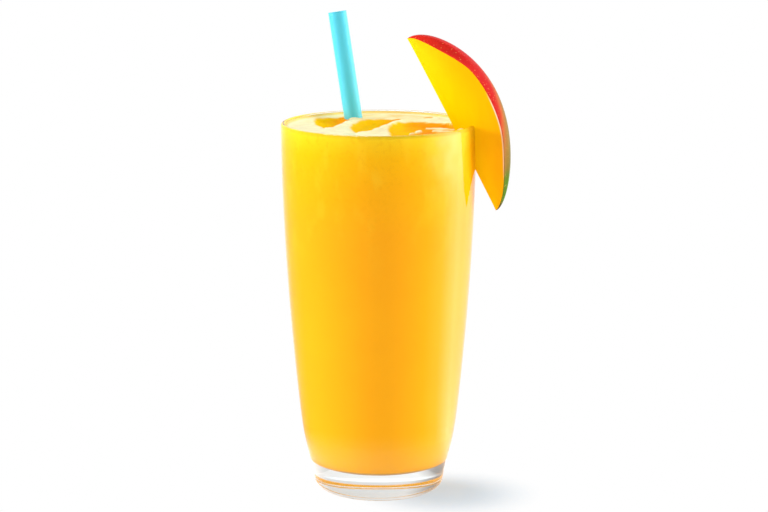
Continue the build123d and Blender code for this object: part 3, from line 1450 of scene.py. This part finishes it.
@dataclass
class Studio:
    """Pale floor, soft lamps, a studio that is white behind and beside the drink, the camera.

    A wide panel stands low on each side and a soft lamp hangs above, a little left and back.
    fill lights every surface plainly, haze is the world's own grey, and the lifts brighten
    the floor by the foot for the eye, through glass and in gloss.
    """

    camera_place: tuple[float, float, float] = (2.25 * MM, -862.3 * MM, 280.2 * MM)
    camera_pitch: float = 11.676
    lens: float = 95.88
    sensor: float = 36.0
    fill: float = 0.75
    haze: float = 0.8
    floor_colour: Colour = (0.9, 0.9, 0.9)
    cool_floor: Colour = (0.57, 0.735, 0.9)
    floor_lift: float = 0.05
    glass_lift: float = 0.3
    gloss_lift: float = 0.2
    shadow_middle: tuple[float, float, float] = (0.03, -0.018, 0.0)
    lamps: tuple[SoftLamp, ...] = (
        SoftLamp("left", (-1.2, -0.17, 0.24), (0.0, 0.0, 0.09), (1.0, 0.45), 14.5),
        SoftLamp("right", (1.2, -0.02, 0.24), (0.0, 0.0, 0.09), (0.5, 0.45), 14.0),
        SoftLamp("above", (-0.25, 0.22, 1.1), (0.0, 0.0, 0.0), (0.5, 0.5), 4.2, True),
    )
    gloss_stops: Stops = (
        (0.0, 0.12),
        (0.3, 0.12),
        (0.38, 0.4),
        (0.45, 1.0),
        (0.56, 0.9),
        (0.61, 0.9),
        (0.665, 1.25),
        (0.7, 1.9),
        (0.735, 1.5),
        (0.78, 0.5),
        (0.84, 0.12),
        (1.0, 0.12),
    )
    glass_stops: Stops = (
        (0.0, 0.9),
        (0.12, 0.8),
        (0.2, 0.4),
        (0.35, 0.36),
        (0.4, 0.8),
        (0.44, 1.0),
        (0.56, 1.0),
        (0.6, 0.8),
        (0.65, 0.36),
        (0.8, 0.4),
        (0.88, 0.8),
        (1.0, 0.9),
    )

    def build(self) -> None:
        """Sets up the colour view, world, floor, lamps and camera."""
        scene = bpy.context.scene
        scene.view_settings.view_transform = "Standard"
        self.world(scene)
        self.floor()
        for lamp in self.lamps:
            lamp.hang()
        self.camera(scene)

    def surroundings(
        self, nodes: Nodes, heading: bpy.types.NodeSocket, stops: Stops
    ) -> bpy.types.NodeSocket:
        """How bright the studio is by compass direction.

        Args:
            nodes: The tree being written.
            heading: A direction or place, whose x and y count.
            stops: Brightness at each share of a turn; 0 is the front and 0.25 the left.

        Returns:
            The brightness, where 1 is white.
        """
        parts = nodes.add("SeparateXYZ", Vector=heading)
        turn = nodes.maths("ARCTAN2", parts.outputs["X"], parts.outputs["Y"])
        share = nodes.maths("MULTIPLY_ADD", turn, 1.0 / math.tau, 0.5)
        brightest = max(value for _, value in stops)
        shades = [(place, (value / brightest,) * 3) for place, value in stops]
        return nodes.maths("MULTIPLY", nodes.ramp(share, shades), brightest)

    def shown(self, nodes: Nodes, heading: bpy.types.NodeSocket) -> bpy.types.NodeSocket:
        """The studio's brightness as gloss shows it, or as it shows through clear glass."""
        gloss = nodes.add("LightPath").outputs["Is Glossy Ray"]
        mirrored = nodes.maths("MULTIPLY", gloss, self.surroundings(nodes, heading, self.gloss_stops))
        through = nodes.maths("SUBTRACT", 1.0, gloss)
        return nodes.maths(
            "MULTIPLY_ADD", through, self.surroundings(nodes, heading, self.glass_stops), mirrored
        )

    def world(self, scene: bpy.types.Scene) -> None:
        """Plain fill light for surfaces, white to the eye, the studio to gloss and glass."""
        scene.world = bpy.data.worlds.new("studio")
        nodes = Nodes(scene.world)
        path = nodes.add("LightPath")
        place = nodes.add("TexCoord")
        clear = nodes.maths(
            "MAXIMUM", path.outputs["Is Glossy Ray"], path.outputs["Is Transmission Ray"]
        )
        grey = (self.haze,) * 3
        bright = self.shown(nodes, place.outputs["Generated"])
        studio = nodes.add("Background", Color=grey, Strength=bright)
        fill = nodes.add("Background", Color=grey, Strength=self.fill)
        white = nodes.add("Background", Color=(1.0, 1.0, 1.0), Strength=1.0)
        lit = nodes.add("MixShader", Fac=clear)
        nodes.feed(lit.inputs[1], fill.outputs[0])
        nodes.feed(lit.inputs[2], studio.outputs[0])
        seen = nodes.add("MixShader", Fac=path.outputs["Is Camera Ray"])
        nodes.feed(seen.inputs[1], lit.outputs[0])
        nodes.feed(seen.inputs[2], white.outputs[0])
        nodes.finish(seen.outputs[0])

    def floor(self) -> None:
        """A wide pale floor: it keeps the shadow beside the foot, further off it is white."""
        half = 4.0
        points = np.array(
            [[-half, -half, 0.0], [half, -half, 0.0], [half, half, 0.0], [-half, half, 0.0]]
        )
        floor = make_object("floor", points, (np.array([[0, 1, 2, 3]]),), smooth=False)
        nodes = Nodes.material("floor_white")
        path = nodes.add("LightPath")
        camera, gloss = path.outputs["Is Camera Ray"], path.outputs["Is Glossy Ray"]
        through = path.outputs["Is Transmission Ray"]
        place = nodes.add("TexCoord").outputs["Object"]
        away = nodes.add("VectorMath", Vector=place)
        away.operation = "LENGTH"
        flattened = nodes.add("Mapping", Vector=place, Scale=(1.0, 1.25, 1.0)).outputs[0]
        middle = nodes.add("VectorMath", Vector=flattened)
        middle.operation = "DISTANCE"
        middle.inputs[1].default_value = self.shadow_middle
        outside = nodes.rise(middle.outputs["Value"], 0.008, 0.043)
        beyond = nodes.rise(away.outputs["Value"], 0.04, 0.09)
        other = nodes.maths("MULTIPLY", beyond, nodes.maths("MAXIMUM", gloss, through))
        share = nodes.maths("MULTIPLY_ADD", outside, camera, other)
        hidden = nodes.maths("SUBTRACT", 1.0, camera)
        bright = nodes.maths("MULTIPLY_ADD", hidden, self.shown(nodes, place), camera)
        shine = nodes.add("Emission", Strength=bright)
        clear = nodes.maths("MAXIMUM", camera, through)
        cloth = nodes.add("BsdfDiffuse", Color=nodes.mix(clear, self.floor_colour, self.cool_floor))
        lifting = nodes.maths("MULTIPLY", camera, self.floor_lift)
        lifting = nodes.maths("MULTIPLY_ADD", through, self.glass_lift, lifting)
        lifting = nodes.maths("MULTIPLY_ADD", gloss, self.gloss_lift, lifting)
        lift = nodes.add("Emission", Strength=lifting)
        lifted = nodes.add("AddShader")
        nodes.feed(lifted.inputs[0], cloth.outputs[0])
        nodes.feed(lifted.inputs[1], lift.outputs[0])
        mixed = nodes.add("MixShader", Fac=share)
        nodes.feed(mixed.inputs[1], lifted.outputs[0])
        nodes.feed(mixed.inputs[2], shine.outputs[0])
        floor.data.materials.append(nodes.finish(mixed.outputs[0]))

    def camera(self, scene: bpy.types.Scene) -> None:
        """The camera, looking a little down along +Y."""
        data = bpy.data.cameras.new("camera")
        data.lens = self.lens
        data.sensor_width = self.sensor
        data.clip_end = 50.0
        camera = bpy.data.objects.new("camera", data)
        camera.location = self.camera_place
        camera.rotation_euler = (math.radians(90.0 - self.camera_pitch), 0.0, 0.0)
        scene.collection.objects.link(camera)
        scene.camera = camera


def main() -> None:
    """Builds the drink piece by piece, then the studio."""
    tumbler = Tumbler()
    straw = Straw()
    straw.stand_in(tumbler)
    wedge = MangoWedge()
    tumbler.build()
    Smoothie().build(tumbler, straw)
    straw.build()
    wedge.build(rim_cutter(tumbler, -wedge.slit_bite, wedge.slit_low))
    Studio().build()


if __name__ == "__main__":
    main()
